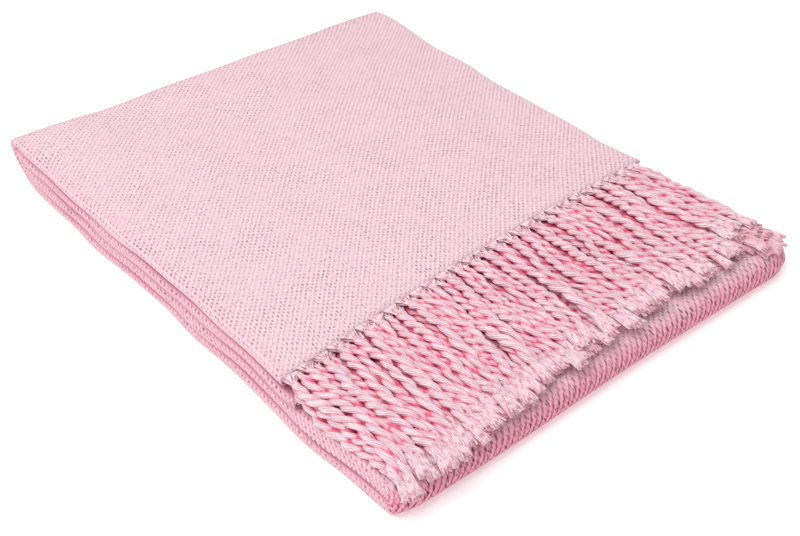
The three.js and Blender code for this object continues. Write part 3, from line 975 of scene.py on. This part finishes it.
def root_fans(lines, fan_width, rng):
    """The fan of each tassel: yarns spaced over its pitch at the cloth's edge and drawn together, by a
    smooth step, into a ring where the strands start. A thin web under them closes the gaps between. The
    yarns carry painted shade where a neighbour covers them from above, and the web an even painted shade."""
    part = np.linspace(0, 1, FAN_STEPS)[None, :]
    start = np.full((lines.count, 1), FAN_START)
    comb = np.linspace(-0.5, 0.5, FAN_YARNS)[:, None, None] * fan_width[None, :, None]
    round_place = rng.uniform(0, 2 * math.pi, (FAN_YARNS, lines.count, 1))
    drawn = smooth(part, 0, 1)
    offset_across = comb * (1 - drawn) + 1.6 * np.cos(round_place) * drawn
    offset_up = 0.4 * (1 - drawn) + 1.3 * np.sin(round_place) * drawn
    span = start + (FAN_REACH + 2) * part
    near = np.broadcast_to(lines.covered(span, 0 * span, 1 + 0 * span), offset_up.shape)
    yarns = loose_yarns(lines, span, offset_across, offset_up, near, rng)
    middle, across, up = lines.at(start + FAN_REACH * part)
    drawn = smooth(part, WEB_HOLD, 1)
    half_width = 0.5 * fan_width[:, None] * (1 - drawn) + 1.5 * drawn
    half_height = 0.3 * (1 - drawn) + 1.1 * drawn + 0 * half_width
    ring = rings(across * half_width[..., None], up * half_height[..., None], WEB_SIDES)
    web = tubes(middle - WEB_DROP * up, ring, np.ones((lines.count, FAN_STEPS)), WEB_SHADE, WEB_GIRTH)
    return [yarns, web]


BRUSH_YARNS = 20
BRUSH_STEPS = 6
BRUSH_GIRTH = 15
BRUSH_SIDES = 8
# The share of the neighbours' cover painted as shade on the brush's yarns, and the painted shade at the
# cut end
BRUSH_COVER = 0.6
BRUSH_END_SHADE = 0.65
CAP_PART = 1.02


def brush_size(flare, part):
    """Half the width and half the height of a brush at a part of its length: it flares, and flattens."""
    return 2.2 * (1 + flare * part**1.4), 1.8 - 0.5 * part


def cut_brushes(lines, reach, rng):
    """The brush of each tassel: a flat flaring bunch with loose yarns over it, each with its own curl.
    Its last ring is half as large and carries painted shade, so that the cut end looks hollow. Its loose
    yarns carry painted shade where neighbours cover them."""
    flare = rng.uniform(0.4, 1.5, (lines.count, 1))
    part = np.append(np.linspace(0, 1, BRUSH_STEPS), CAP_PART)[None, :]
    middle, across, up = lines.at(reach - BRUSH - 2 + (BRUSH - 0.5) * part)
    half_width, half_height = brush_size(flare, part)
    ring = rings(across * half_width[..., None], up * half_height[..., None], BRUSH_SIDES)
    shrink = np.where(part > 1, 0.5, 1.0) * np.ones((lines.count, 1))
    # Painted shade deepens the cut end
    painted_shade = BRUSH_END_SHADE * smooth(part, 0.8, CAP_PART)[..., None]
    core = tubes(middle, ring, shrink, painted_shade, BRUSH_GIRTH)
    bearing = rng.uniform(0, 2 * math.pi, (BRUSH_YARNS, lines.count, 1))
    out = rng.uniform(0.75, 1.1, (BRUSH_YARNS, lines.count, 1))
    curl = rng.normal(0, 0.3, (BRUSH_YARNS, lines.count, 1))
    part = np.linspace(0, 1, BRUSH_STEPS)[None, :]
    lean = bearing + curl * part
    half_width, half_height = brush_size(flare, part)
    offset_across, offset_up = out * half_width * np.cos(lean), out * half_height * np.sin(lean)
    span = reach - BRUSH - 3 + (BRUSH + 3) * part
    near = BRUSH_COVER * np.stack([lines.covered(span, *pair) for pair in zip(offset_across, offset_up)])
    return [core, loose_yarns(lines, span, offset_across, offset_up, near, rng)]


def tassel_mesh(path, cover, reach, fan_width, seed):
    """Twisted tassels along paths from the cloth's end, each reach mm long: two strands wound round
    each other, the fan of yarns at the root, and the brush of loose yarns at the tip."""
    rng = np.random.default_rng(seed)
    lines = TasselLines(path, cover)
    reach = np.minimum(reach, lines.travel[:, -1] - 0.5)[:, None]
    parts = twisted_strands(lines, reach, rng)
    parts += root_fans(lines, fan_width, rng)
    parts += cut_brushes(lines, reach, rng)
    return gathered(parts)


# The yarn's colours: its pale lines and their base, the dark specks between them, and the painted shade
# of the grooves and of the deep places between tassels
YARN_LIGHT = (0.96, 0.75, 0.81, 1)
YARN_BASE = (0.90, 0.57, 0.655, 1)
YARN_SPECK = (0.45, 0.18, 0.27, 1)
YARN_GROOVE_SHADE = (0.88, 0.46, 0.56, 1)
YARN_DEEP_SHADE = (0.80, 0.12, 0.235, 1)
YARN_LINES = 8


def fringe_material():
    """Soft cotton yarn: fine pale yarns that run nearly along the tassel, with short dark gaps between
    them, and painted shade of a deeper pink in the grooves and where tassels lie against each other."""
    material, tree, shader = new_material("pink_yarn", sheen=0.15)
    place = place_in_mm(tree)
    painted_shade = mesh_value(tree, "painted_shade")
    round_place, along = parts_of(tree, place)
    around = maths(tree, "MULTIPLY_ADD", along, 0.22, round_place)
    drawn = flat_place(tree, maths(tree, "MULTIPLY", around, 0.9), maths(tree, "MULTIPLY", along, 0.14))
    streaks = noise(tree, drawn, 1.0)
    rough = noise(tree, place, 0.5)
    line_count = maths(tree, "MULTIPLY", around, YARN_LINES / STRAND_GIRTH)
    turns = maths(tree, "MULTIPLY_ADD", rough, 0.4, line_count)
    yarn_lines = maths(tree, "MULTIPLY_ADD", cosine(tree, turns), 0.5, 0.5)
    pale_streaks = ramped(tree, streaks, 0.35, 0.65, -0.1, 0.5)
    pale = maths(tree, "ADD", maths(tree, "MULTIPLY", yarn_lines, 0.6), pale_streaks)
    colour = mixed(tree, pale, YARN_BASE, YARN_LIGHT)
    between_lines = ramped(tree, yarn_lines, 0.0, 0.45, 1.0, 0.0)
    speck = maths(tree, "MULTIPLY", between_lines, ramped(tree, streaks, 0.46, 0.6, 1.0, 0.0))
    colour = mixed(tree, maths(tree, "MULTIPLY", speck, 0.55), colour, YARN_SPECK)
    # Painted shade: deeper pink in the grooves and between tassels, from the mesh's painted shade values
    colour = mixed(tree, ramped(tree, painted_shade, 0.2, 0.6, 0.0, 0.8), colour, YARN_GROOVE_SHADE)
    colour = mixed(tree, ramped(tree, painted_shade, 0.5, 1.0), colour, YARN_DEEP_SHADE)
    fed(tree, shader, "Base Color", colour)
    fed(tree, shader, "Normal", bumped(tree, maths(tree, "ADD", yarn_lines, streaks), 0.8, 0.4))
    fed(tree, shader, "Roughness", ramped(tree, rough, 0.2, 0.8, 0.75, 0.95))
    return material


# A fan is a little narrower than its tassel's pitch. Below the top ply the first and last are much
# narrower, so that they stay under it.
FAN_SHARE = 0.94
OUTER_FAN_SHARE = 0.4
CUT_SHORTEST = -8
CUT_LONGEST = 1.5

yarn = fringe_material()
pile, pile_cover = settled_pile()
to_right = smooth(np.arange(TASSELS), TASSELS - RIGHT_TASSELS, TASSELS - 1)
for row, fringe_row in enumerate(FRINGES):
    rows = slice(row * TASSELS, (row + 1) * TASSELS)
    first = FIRST_SLICE[fringe_row["end"]]
    paths, cover = carried_on(pile[rows, first:], pile_cover[rows, first:])
    paths = soften(paths[..., 0], paths[..., 1], paths[..., 2]) + shift
    reach = fringe_row["reach"] + fringe_rng.uniform(CUT_SHORTEST, CUT_LONGEST, TASSELS)
    reach = reach + fringe_row["right"] * to_right
    fan_width = np.full(TASSELS, FAN_SHARE * TASSEL_PITCH)
    if row > 0:
        fan_width[[0, -1]] *= OUTER_FAN_SHARE
    points, quads, corner_uv, painted_shade = tassel_mesh(paths, cover, reach, fan_width, 100 + row)
    place = fringe_row["end"] + "_" + str(fringe_row["ply"] + 1)
    # Each tassel mesh carries its painted shade as an attribute
    piece = mesh_piece("tassels_" + place, points, quads, corner_uv, yarn, [("painted_shade", painted_shade)])
    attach(piece, "root")
    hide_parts("fringe_" + place)

# Floor, light and camera
# A plain pale floor, even light from all round with a large soft lamp up at the left, and the
# photograph's view: about 37 degrees down, from the corner between the fringe and the folded side.
# Places here are in metres.

FLOOR_HALF = 6
corners = [(-1, -1), (1, -1), (1, 1), (-1, 1)]
floor_corners = [(x * FLOOR_HALF, y * FLOOR_HALF, 0) for x, y in corners]
floor_mesh = bpy.data.meshes.new("floor")
floor_mesh.from_pydata(floor_corners, [], [(0, 1, 2, 3)])
floor = bpy.data.objects.new("floor", floor_mesh)
bpy.context.scene.collection.objects.link(floor)
floor_material = bpy.data.materials.new("pale_floor")
floor_material.use_nodes = True
floor_shader = floor_material.node_tree.nodes["Principled BSDF"]
floor_shader.inputs["Base Color"].default_value = (0.93, 0.93, 0.93, 1)
floor_shader.inputs["Roughness"].default_value = 0.9
floor_shader.inputs["Emission Color"].default_value = (1, 1, 1, 1)
floor_shader.inputs["Emission Strength"].default_value = 0.28
floor_mesh.materials.append(floor_material)

world = bpy.data.worlds.new("studio")
world.use_nodes = True
world.node_tree.nodes["Background"].inputs["Color"].default_value = (1, 1, 1, 1)
world.node_tree.nodes["Background"].inputs["Strength"].default_value = 0.58
bpy.context.scene.world = world

# A square lamp over the near-left side, turned to shine at the throw
LAMP_PLACE = Vector((0, -0.8, 1.8))
LAMP_SIZE = 1.6
LAMP_POWER = 28
lamp_data = bpy.data.lights.new("key", "AREA")
lamp_data.size = LAMP_SIZE
lamp_data.energy = LAMP_POWER
lamp = bpy.data.objects.new("key", lamp_data)
lamp.location = LAMP_PLACE
lamp.rotation_euler = (-LAMP_PLACE).to_track_quat("-Z", "Y").to_euler()
bpy.context.scene.collection.objects.link(lamp)

FOCAL_PIXELS = 1310.3
IMAGE_WIDTH = 800
SENSOR = 36
CAMERA_PLACE = (0.5720, -0.4560, 0.5210)
CAMERA_DOWN = 37.17
CAMERA_BEARING = 140.28
camera_data = bpy.data.cameras.new("camera")
camera_data.sensor_width = SENSOR
camera_data.lens = FOCAL_PIXELS / IMAGE_WIDTH * SENSOR
camera_data.clip_start = 0.01
camera = bpy.data.objects.new("camera", camera_data)
bearing, down = math.radians(CAMERA_BEARING), math.radians(CAMERA_DOWN)
look = Vector((math.cos(bearing) * math.cos(down), math.sin(bearing) * math.cos(down), -math.sin(down)))
camera.matrix_world = Matrix.Translation(CAMERA_PLACE) @ look.to_track_quat("-Z", "Y").to_matrix().to_4x4()
bpy.context.scene.collection.objects.link(camera)
bpy.context.scene.camera = camera
bpy.context.scene.view_settings.view_transform = "Standard"

bpy.context.view_layer.update()
